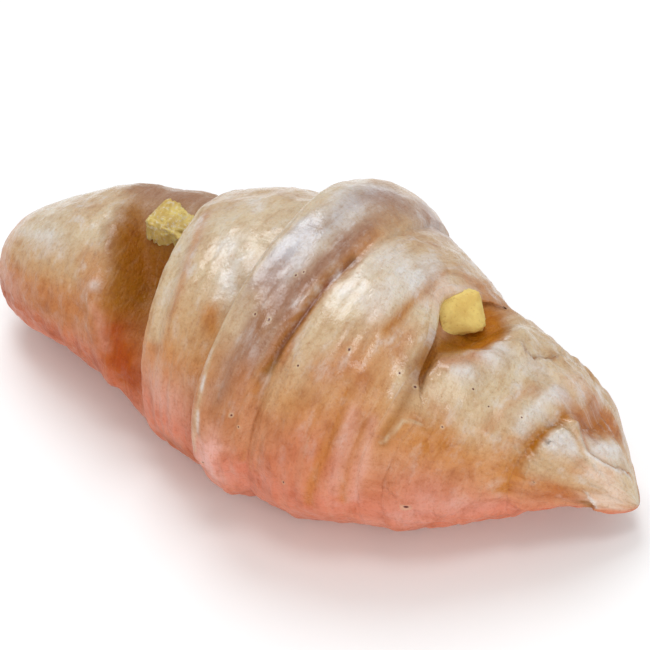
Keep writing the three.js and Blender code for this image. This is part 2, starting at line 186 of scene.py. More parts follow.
# Torn edges: waver, as for fine relief, span beside the path where they drop, and fade past its ends
FLAKE_WAVER = ((0.5, 1.4, 110, 16),)
FLAKE_DROP = (-0.35, 0.15)
FLAKE_END = 1.2

# Pleats that fan out from the torn edge of the right end
PLEATS = {"path": ((50.7, 44), (54.2, 72)), "count": 7, "reach": 3.2, "height": 0.32}

# Pores in the glaze: x, angle and radius
PORES = (
    (4.2, 53, 0.28), (1.5, 53, 0.24), (4.5, 69, 0.24), (5.4, 71, 0.2), (19.5, 54, 0.3), (12.3, 43, 0.24),
    (28.4, 54, 0.28), (31.2, 52, 0.24), (3.6, 20, 0.24), (5.0, 16, 0.2), (-2.1, -6, 0.28), (14.8, 1, 0.24),
    (34.9, 0, 0.55), (39.4, 62, 0.24), (42.5, 59, 0.2), (37.3, 42, 0.24), (52.5, 30, 0.24), (47.6, 63, 0.24),
)
PORE_DEPTH = 0.9

# Filling: a soft log whose swollen ends stand in the two pockets
FILLING_PATH = np.array(((-38.8, 3.2, 35.0), (-10.0, 3.0, 30.0), (23.2, 12.0, 29.0), (29.5, 3.6, 38.2)))
FILLING_HALF_WIDTH = 3.7
FILLING_HALF_HEIGHT = 3.5
FILLING_SQUARENESS = 0.45
FILLING_ROUNDING = 2.0
FILLING_LUMPS = ((0.06, 3, 7.4), (0.05, 2, -3.3))
FILLING_SWELLS = ((0.02, 0.05, 0.05), (0.95, 0.06, 0.05))
FILLING_LOBE = {"height": 0.45, "at": 0.95, "spread": 0.03, "turn": (200.0, 45.0)}
FILLING_ROWS = 220
FILLING_COLUMNS = 72

# Crumb of the filling: height and size in millimetres, bumps round the log, and seed
CRUMBS = ((0.16, 0.5, 40, 21), (0.24, 1.5, 14, 22))

# Colours of the filling, as red, green and blue out of 255
FILLING_BRIGHT = (229, 203, 117)
FILLING_DEEP = (209, 175, 92)
FILLING_PIT = (176, 132, 62)

# The left end of the filling has crumbled and is darkened by painted shade where it sits deep in the recess:
# its stretch as shares of the length, the tone of its painted shade, how much deeper its crumb is, and the
# colour of its loose crumbs
FILLING_BAKED_TO = (0.1, 0.4)
FILLING_SHADE_TONE = 0.82
FILLING_CRUMBLED = 3.0
FILLING_LOOSE = (224, 210, 180)


def smooth(value, low, high):
    share = np.clip((value - low) / (high - low), 0.0, 1.0)
    return share * share * (3.0 - 2.0 * share)


def lerp(a, b, share):
    return a + (b - a) * share


def hump(angle, at, spread):
    gap = (angle - at + 180.0) % 360.0 - 180.0
    return np.exp(-((gap / spread) ** 2))


def climb(angle):
    """Rises from 0 under the front to 1 at the upper back, and falls again underneath."""
    turn = (angle - CLIMB_START) % 360.0
    rise = CLIMB_END - CLIMB_START
    half = np.where(turn < rise, turn / rise, 1.0 + (turn - rise) / (360.0 - rise))
    return 0.5 - 0.5 * np.cos(np.pi * half)


def axis_at(x):
    share = np.where(x < 0, x / LEFT_LENGTH, x / RIGHT_LENGTH)
    drop = np.where(x < 0, LEFT_DROP, RIGHT_DROP)
    return BOW * share**2, AXIS_HEIGHT - drop * share**2


def left_tip(angle):
    return np.full_like(angle, -LEFT_LENGTH)


def left_lip(angle):
    height, at, spread = LEFT_LIP["dip"]
    x = LEFT_LIP["x"] + LEFT_LIP["climb"] * climb(angle) ** LEFT_LIP["power"]
    return x + height * hump(angle, at, spread)


def band_lip(angle):
    return BAND_LIP["x"] + BAND_LIP["sway"] * np.sin(np.radians(angle))


def band_valley(angle):
    return BAND_VALLEY["x"] + BAND_VALLEY["climb"] * climb(angle)


def right_lip(angle):
    return RIGHT_LIP_X + sum(height * hump(angle, at, spread) for height, at, spread in RIGHT_LIP_WAVES)


def end_lip(angle):
    height, at, spread = END_LIP["sweep"]
    return END_LIP["x"] + height * hump(angle, at, spread)


def right_tip(angle):
    return np.full_like(angle, RIGHT_LENGTH)


def between(x, angle, start, end):
    return (x - start(angle)) / (end(angle) - start(angle))


def arch(share, values):
    start, middle, end = values
    return lerp(start, end, share) + 4.0 * (middle - 0.5 * (start + end)) * share * (1.0 - share)


def on_skin(x, angle):
    """Places as millimetres along the roll and round it."""
    return np.stack([x, angle * FOLD_MM_PER_DEGREE], -1)


def path_points(path):
    return np.array(path, float) * (1.0, FOLD_MM_PER_DEGREE)


def path_distance(x, angle, path):
    """Distance over the skin from each place to a path, in millimetres."""
    here = on_skin(x, angle)
    points = path_points(path)
    if len(points) == 1:
        return np.linalg.norm(here - points[0], axis=-1)
    nearest = np.full(x.shape, np.inf)
    for a, b in zip(points[:-1], points[1:]):
        run = b - a
        share = np.clip((here - a) @ run / (run @ run), 0.0, 1.0)
        nearest = np.minimum(nearest, np.linalg.norm(here - a - share[..., None] * run, axis=-1))
    return nearest


def path_side(x, angle, path):
    """Distance from a path, positive on its left side, and how far past its ends each place lies."""
    here = on_skin(x, angle)
    points = path_points(path)
    nearest = np.full(x.shape, np.inf)
    left = np.zeros_like(x)
    past = np.zeros_like(x)
    final = len(points) - 2
    for k, (a, b) in enumerate(zip(points[:-1], points[1:])):
        run = b - a
        share = (here - a) @ run / (run @ run)
        off = here - a - np.clip(share, 0.0, 1.0)[..., None] * run
        gap = np.linalg.norm(off, axis=-1)
        closer = gap < nearest
        nearest = np.where(closer, gap, nearest)
        left = np.where(closer, run[0] * (here - a)[..., 1] - run[1] * (here - a)[..., 0], left)
        before = np.maximum(-share, 0.0) * (k == 0)
        after = np.maximum(share - 1.0, 0.0) * (k == final)
        past = np.where(closer, (before + after) * np.linalg.norm(run), past)
    return np.sign(left) * nearest, past


def lattice_noise(along, around, seed, period):
    """Smooth random heights from -1 to 1; around repeats after a whole number of steps."""
    heights = np.random.default_rng(seed).uniform(-1.0, 1.0, (LATTICE, period))
    along, around = np.broadcast_arrays(along, around)
    column = np.floor(along).astype(int)
    row = np.floor(around).astype(int)
    across = smooth(along - column, 0.0, 1.0)
    up = smooth(around - row, 0.0, 1.0)
    first = column % LATTICE
    second = (column + 1) % LATTICE
    low = row % period
    high = (row + 1) % period
    near = lerp(heights[first, low], heights[second, low], across)
    far = lerp(heights[first, high], heights[second, high], across)
    return lerp(near, far, up)


def skin_noise(layers, along, angle):
    """Sum of noises, each given by its height, length of a bump, bumps round the roll, and seed."""
    return sum(rise * lattice_noise(along / size, angle / 360.0 * bumps, seed, bumps)
               for rise, size, bumps, seed in layers)


def relief(x, angle):
    """Height of everything that stands on a wrap or is pressed into it, apart from its wrinkles."""
    turn = np.radians(angle)
    height = UNEVENNESS
    for along, around, start in UNEVEN_WAVES:
        height = height * np.sin(along * x + around * turn + start)
    for width, rise, path in FOLDS.values():
        height = height + rise * np.exp(-((path_distance(x, angle, path) / width) ** 2))
    deepening = lerp(*DIMPLE_SHARES, smooth(x, *DIMPLE_DEEPENS))
    height = height + deepening * skin_noise(DIMPLES, x, angle)
    ragged = skin_noise(FLAKE_WAVER, x, angle)
    for rise, width, path in FLAKES.values():
        side, past = path_side(x, angle, path)
        raised = side + ragged
        slope = np.exp(-np.maximum(raised, 0.0) / width) * smooth(raised, *FLAKE_DROP)
        height = height + rise * slope * np.exp(-((past / FLAKE_END) ** 2))
    height = height + pleats(x, angle)
    for at, turn_at, radius in PORES:
        gap = path_distance(x, angle, ((at, turn_at),))
        height = height - PORE_DEPTH * radius * np.exp(-((gap / radius) ** 2))
    return height


def pleats(x, angle):
    start, end = path_points(PLEATS["path"])
    run = end - start
    here = on_skin(x, angle) - start
    share = here @ run / (run @ run)
    fade = np.exp(-((path_distance(x, angle, PLEATS["path"]) / PLEATS["reach"]) ** 2))
    return PLEATS["height"] * fade * np.cos(2.0 * np.pi * PLEATS["count"] * share)


def wrinkles(along, angle):
    """Fine ridges that run round the roll, parallel to the edges of their wrap."""
    return lerp(WRINKLE_LEAST, 1.0, hump(angle, *WRINKLE_DEEP)) * skin_noise(WRINKLES, along, angle)


def wrap_girth(wrap, share, x, angle, tuck_at=TUCK):
    width, girth, tuck, lean = wrap
    tucked = arch(share, tuck) * hump(angle, *tuck_at)
    leant = arch(share, lean) * hump(angle, *LEAN)
    fine = relief(x, angle) + wrinkles(share * width, angle)
    return arch(share, girth) * (1.0 - tucked) * (1.0 - leant) + fine


def recess_border(angle):
    return RECESS["starts"] - RECESS["slant"] * np.clip(angle, 0.0, RECESS["until"])


def left_end(x, angle):
    share = np.clip(between(x, angle, left_tip, left_lip), 0.0, 1.0 + OVERRUN)
    dome = (1.0 - np.maximum(1.0 - share, 0.0) ** LEFT_BLUNTNESS) ** (1.0 / LEFT_BLUNTNESS)
    border = recess_border(angle)
    hollow = hump(angle, *RECESS["at"]) * smooth(share, border, border + RECESS["slope"])
    return wrap_girth(LEFT_END, share, x, angle) * dome - RECESS["depth"] * hollow


def left_shoulder(x, angle):
    return wrap_girth(LEFT_SHOULDER, between(x, angle, left_lip, band_lip), x, angle)


def band(x, angle):
    return wrap_girth(BAND, between(x, angle, band_lip, band_valley), x, angle)


def right_shoulder(x, angle):
    return wrap_girth(RIGHT_SHOULDER, between(x, angle, band_valley, right_lip), x, angle)


def right_neck(x, angle):
    share = between(x, angle, right_lip, end_lip)
    return wrap_girth(RIGHT_NECK, share, x, angle) - POCKET["depth"] * pocket_share(x, angle)


def pocket_share(x, angle):
    """1 on the floor of the pocket under the right lip and 0 outside it."""
    at, spread = POCKET["at"]
    along = (x - POCKET["x"] - POCKET["slant"] * (angle - at)) / POCKET["reach"]
    return 1.0 - smooth(np.hypot(along, (angle - at) / spread), POCKET["floor"], 1.0)


def right_end(x, angle):
    share = np.clip(between(x, angle, end_lip, right_tip), -OVERRUN, 1.0)
    blunt = lerp(RIGHT_BLUNTNESS["front"], RIGHT_BLUNTNESS["back"], hump(angle, *RIGHT_BLUNTNESS["at"]))
    dome = (1.0 - np.maximum(share, 0.0) ** blunt) ** (1.0 / blunt)
    saddle = hump(angle, *END_SADDLE["at"]) * (1.0 - smooth(share, 0.0, END_SADDLE["reach"]))
    return wrap_girth(RIGHT_END, share, x, angle, RIGHT_END_TUCK) * dome - END_SADDLE["depth"] * saddle


def column_angles():
    """Angles of the mesh's columns, which stand close together over the skin that shows best."""
    front = np.linspace(FRONT_START, FRONT_END, FRONT_COLUMNS, endpoint=False)
    rest = np.linspace(FRONT_END, FRONT_START + 360.0, COLUMNS - FRONT_COLUMNS, endpoint=False)
    return np.concatenate([front, rest])


ANGLES = column_angles()


class Skin:
    """Rows of skin from the left tip to the right tip: x, reach, streak and crease at each of ANGLES."""

    def __init__(self):
        self.rows = []
        self.wound = 0.0

    def add_wrap(self, wrap, start, end, edges, shares, lips=()):
        """Rows of one wrap, between its start and its end.

        Streak counts millimetres of skin from the left tip, and crease is 1 under a lip over the wrap."""
        first, last = edges
        width = np.mean(last(ANGLES) - first(ANGLES))
        for share in shares:
            x = lerp(start(ANGLES), end(ANGLES), share)
            # Crease is the share of painted shade, with some browning, under a lip over the wrap
            crease = np.zeros_like(x)
            for lip in lips:
                crease = np.maximum(crease, lip.shadow(x))
            streak = self.wound + width * between(x, ANGLES, first, last)
            self.rows.append((x, wrap(x, ANGLES), streak, crease))
        self.wound += width

    def add_lip(self, lip):
        for x, reach, crease in lip.rows():
            self.rows.append((x, reach, np.full_like(x, self.wound), crease))


class Lip:
    """Rolled edge of a wrap over its neighbour, with the gap under it.

    Side is the way that the edge faces along x. Loose tells how far it is open at each angle."""

    def __init__(self, edge, side, outer, inner, loose=None, step_width=STEP_WIDTH, nose=LIP_RADIUS):
        self.edge = edge
        self.side = side
        self.outer = outer
        self.inner = inner
        self.loose = loose
        self.step_width = step_width
        self.nose = nose

    def step(self, x, angle):
        return self.outer(x, angle) - self.inner(x, angle)

    def opening(self, angle):
        lifted = smooth(self.step(self.edge(angle), angle), LIP_SHUT, LIP_OPEN)
        return lifted if self.loose is None else lifted * self.loose(angle)

    def within(self, size, x, angle):
        return np.minimum(size, STEP_SHARE * np.maximum(self.step(x, angle), LIP_SHUT))

    def radius(self, angle):
        return self.within(self.nose, self.edge(angle), angle)

    def outer_edge(self, angle):
        inset = lerp(self.step_width / 2, self.radius(angle), self.opening(angle))
        return self.edge(angle) - self.side * inset

    def inner_edge(self, angle):
        outset = lerp(self.step_width / 2, -LIP_UNDERCUT, self.opening(angle))
        return self.edge(angle) + self.side * outset

    def shadow(self, x):
        clear = np.maximum(self.side * (x - self.edge(ANGLES)), 0.0)
        return self.opening(ANGLES) * np.exp(-clear / CREASE_SHADE_WIDTH)

    def rolled(self, turn):
        radius = self.radius(ANGLES)
        x = self.edge(ANGLES) - self.side * radius
        reach = self.outer(x, ANGLES) - radius + radius * np.sin(turn)
        return x + self.side * radius * np.cos(turn), reach

    def roof(self):
        x = self.edge(ANGLES) - self.side * LIP_UNDERCUT
        return x, self.inner(x, ANGLES) + self.within(LIP_GAP, x, ANGLES)

    def rows(self):
        turns = np.linspace(math.pi / 2, -math.pi / 2, LIP_ROWS)[1:]
        opened = [self.rolled(turn) for turn in turns] + [self.roof()]
        opening = self.opening(ANGLES)
        above = self.outer(self.outer_edge(ANGLES), ANGLES)
        below = self.inner(self.inner_edge(ANGLES), ANGLES)
        rows = []
        for k, (x, reach) in enumerate(opened):
            share = (k + 1) / (len(opened) + 1)
            shut_x = self.edge(ANGLES) + self.side * self.step_width * (share - 0.5)
            shut_reach = lerp(above, below, smooth(share, 0.0, 1.0))
            # Painted shade on the lip's underside, growing toward the gap
            crease = opening * smooth(np.full_like(x, share), *CREASE_SHADE_TURN)
            rows.append((lerp(shut_x, x, opening), lerp(shut_reach, reach, opening), crease))
        return rows if self.side > 0 else rows[::-1]


def right_lip_loose(angle):
    """The right lip is open over the filling, and grown together with the neck below and behind it."""
    start, full, closing, shut = RIGHT_LIP_LOOSE
    return smooth(angle, start, full) * (1.0 - smooth(angle, closing, shut))


def end_lip_loose(angle):
    """The right end is grown together with the neck all round."""
    return np.zeros_like(angle)


def build_skin():
    left_fold = Lip(left_lip, -1, left_shoulder, left_end)
    band_fold = Lip(band_lip, -1, band, left_shoulder)
    right_fold = Lip(right_lip, 1, right_shoulder, right_neck, right_lip_loose, SOFT_STEP_WIDTH,
                     RIGHT_LIP_RADIUS)
    end_fold = Lip(end_lip, -1, right_end, right_neck, end_lip_loose, END_STEP_WIDTH)
    even = {name: np.linspace(0.0, 1.0, count) for name, count in ROW_COUNTS.items()}
    skin = Skin()
    skin.add_wrap(left_end, left_tip, left_fold.inner_edge, (left_tip, left_lip),
                  even["left end"] ** TIP_CROWDING, [left_fold])
    skin.add_lip(left_fold)
    skin.add_wrap(left_shoulder, left_fold.outer_edge, band_fold.inner_edge, (left_lip, band_lip),
                  even["left shoulder"], [band_fold])
    skin.add_lip(band_fold)
    skin.add_wrap(band, band_fold.outer_edge, band_valley, (band_lip, band_valley), even["band"])
    skin.add_wrap(right_shoulder, band_valley, right_fold.outer_edge, (band_valley, right_lip),
                  even["right shoulder"][1:])
    skin.add_lip(right_fold)
    skin.add_wrap(right_neck, right_fold.inner_edge, end_fold.inner_edge, (right_lip, end_lip),
                  even["right neck"], [right_fold])
    skin.add_lip(end_fold)
    skin.add_wrap(right_end, end_fold.outer_edge, right_tip, (end_lip, right_tip),
                  1.0 - (1.0 - even["right end"]) ** TIP_CROWDING)
    return np.array(skin.rows).transpose(1, 0, 2)


def place(x, reach):
    axis_y, axis_z = axis_at(x)
    turn = np.radians(ANGLES)
    return np.stack([x, axis_y - reach * np.cos(turn), axis_z + FLATNESS * reach * np.sin(turn)], -1)


def filling_surface():
    """Points of the filling's log, one row for each place along it, and how far each lies in its crumbled,
    shaded left end.
    """
    share = (0.5 - 0.5 * np.cos(np.linspace(0.0, np.pi, FILLING_ROWS)))[:, None]
    angle = np.linspace(0.0, 2.0 * np.pi, FILLING_COLUMNS, endpoint=False)[None, :]
    centre, ahead = bezier(FILLING_PATH, share)
    length = np.linalg.norm(np.diff(centre, axis=0), axis=1).sum()
    inset = np.minimum(share, 1.0 - share) * length
    cap = np.sqrt(1.0 - np.maximum(1.0 - inset / FILLING_ROUNDING, 0.0) ** 2)
    lump = 1.0
    for height, around, along in FILLING_LUMPS:
        lump = lump + height * np.sin(around * angle + along * share)
    for at, spread, swell in FILLING_SWELLS:
        lump = lump + swell * np.exp(-(((share - at) / spread) ** 4))
    lobe = FILLING_LOBE["height"] * hump(np.degrees(angle), *FILLING_LOBE["turn"])
    lump = lump + lobe * np.exp(-(((share - FILLING_LOBE["at"]) / FILLING_LOBE["spread"]) ** 2))
    baked = 1.0 - smooth(share, *FILLING_BAKED_TO)
    crumb = skin_noise(CRUMBS, share * length, np.degrees(angle)) * lerp(1.0, FILLING_CRUMBLED, baked)
    side = np.cross((0.0, 0.0, 1.0), ahead)
    side = side / np.linalg.norm(side, axis=1, keepdims=True)
    up = np.cross(ahead, side)
    across = -cap * (FILLING_HALF_WIDTH * lump + crumb) * squared(np.cos(angle))
    above = cap * (FILLING_HALF_HEIGHT * lump + crumb) * squared(np.sin(angle))
    points = centre[:, None] + across[..., None] * side[:, None] + above[..., None] * up[:, None]
    return points, np.broadcast_to(baked[..., None], points.shape)


def bezier(path, share):
    """Points of a cubic curve, and the way that it heads at each of them."""
    a, b, c, d = path
    rest = 1.0 - share
    points = rest**3 * a + 3.0 * rest**2 * share * b + 3.0 * rest * share**2 * c + share**3 * d
    run = rest**2 * (b - a) + 2.0 * rest * share * (c - b) + share**2 * (d - c)
    return points, run / np.linalg.norm(run, axis=1, keepdims=True)


def squared(value):
    return np.sign(value) * np.abs(value) ** FILLING_SQUARENESS


def loft(name, points, fields):
    """Closed mesh over rows of points, whose first and last rows close up to a point each.

    Fields are named arrays with a colour or a vector for each point."""
    rows, columns = points.shape[:2]
    inner = points[1:-1].reshape(-1, 3)
    corners = np.concatenate([inner, points[0, :1], points[-1, :1]])
    grid = np.arange((rows - 2) * columns).reshape(rows - 2, columns)
    after = np.roll(grid, -1, axis=1)
    quads = np.stack([grid[:-1], after[:-1], after[1:], grid[1:]], -1).reshape(-1, 4)
    first = np.full(columns, len(inner))
    last = first + 1
    fans = np.concatenate([np.stack([first, after[0], grid[0]], -1),
                           np.stack([last, grid[-1], after[-1]], -1)])
    mesh = bpy.data.meshes.new(name)
    mesh.from_pydata((corners + ROLL_ORIGIN) * MM, [], quads[:, ::-1].tolist() + fans[:, ::-1].tolist())
    for field, values in fields.items():
        flat = np.concatenate([values[1:-1].reshape(-1, values.shape[-1]), values[0, :1], values[-1, :1]])
        kind, key = ("FLOAT_COLOR", "color") if values.shape[-1] == 4 else ("FLOAT_VECTOR", "vector")
        mesh.attributes.new(field, kind, "POINT").data.foreach_set(key, flat.astype(np.float32).ravel())
    mesh.shade_smooth()
    piece = bpy.data.objects.new(name, mesh)
    bpy.context.collection.objects.link(piece)
    return piece


def cut_flat_base(piece):
    """Cuts away what reaches below the floor and closes the cut."""
    work = bmesh.new()
    work.from_mesh(piece.data)
    everything = work.verts[:] + work.edges[:] + work.faces[:]
    cut = bmesh.ops.bisect_plane(work, geom=everything, plane_co=(0, 0, 0), plane_no=(0, 0, 1),
                                 clear_inner=True)
    rim = [item for item in cut["geom_cut"] if isinstance(item, bmesh.types.BMEdge)]
    lid = bmesh.ops.holes_fill(work, edges=rim)["faces"]
    for face in lid:
        face.smooth = False
    bmesh.ops.recalc_face_normals(work, faces=work.faces[:])
    work.to_mesh(piece.data)
    work.free()


# Colours of the crust and its glaze, and of painted sheen, highlights and shade, as red, green and blue out
# of 255
PALETTE = {
    "white": (226, 222, 220),
    "lavender_sheen": (190, 186, 192),
    "gold": (184, 120, 40),
    "cream": (215, 195, 165),
    "tan": (203, 168, 130),
    "clay": (192, 130, 88),
    "orange": (192, 124, 58),
    "amber": (204, 146, 98),
    "brown": (150, 97, 46),
    "umber": (112, 72, 40),
    "rust": (170, 84, 34),
    "taupe": (164, 128, 110),
    "salmon": (214, 135, 110),
    "peach": (208, 150, 114),
    "brick": (196, 112, 84),
    "pink": (228, 178, 168),
    "blush": (228, 202, 182),
}

# Ground colour round the roll, from under the front over the top to the back; the salmon underside is a
# painted reflection of pink light from below
GROUND = ((-62, "salmon"), (-4, "salmon"), (18, "peach"), (31, "amber"), (45, "tan"), (62, "cream"),
          (105, "cream"), (140, "tan"), (190, "clay"), (240, "salmon"), (298, "salmon"))

# Glaze lies thick on the top and thin toward the underside: angle and share
GLAZE = ((-62, 0.15), (5, 0.2), (40, 0.5), (68, 1.0), (115, 1.0), (170, 0.5), (230, 0.15), (298, 0.15))

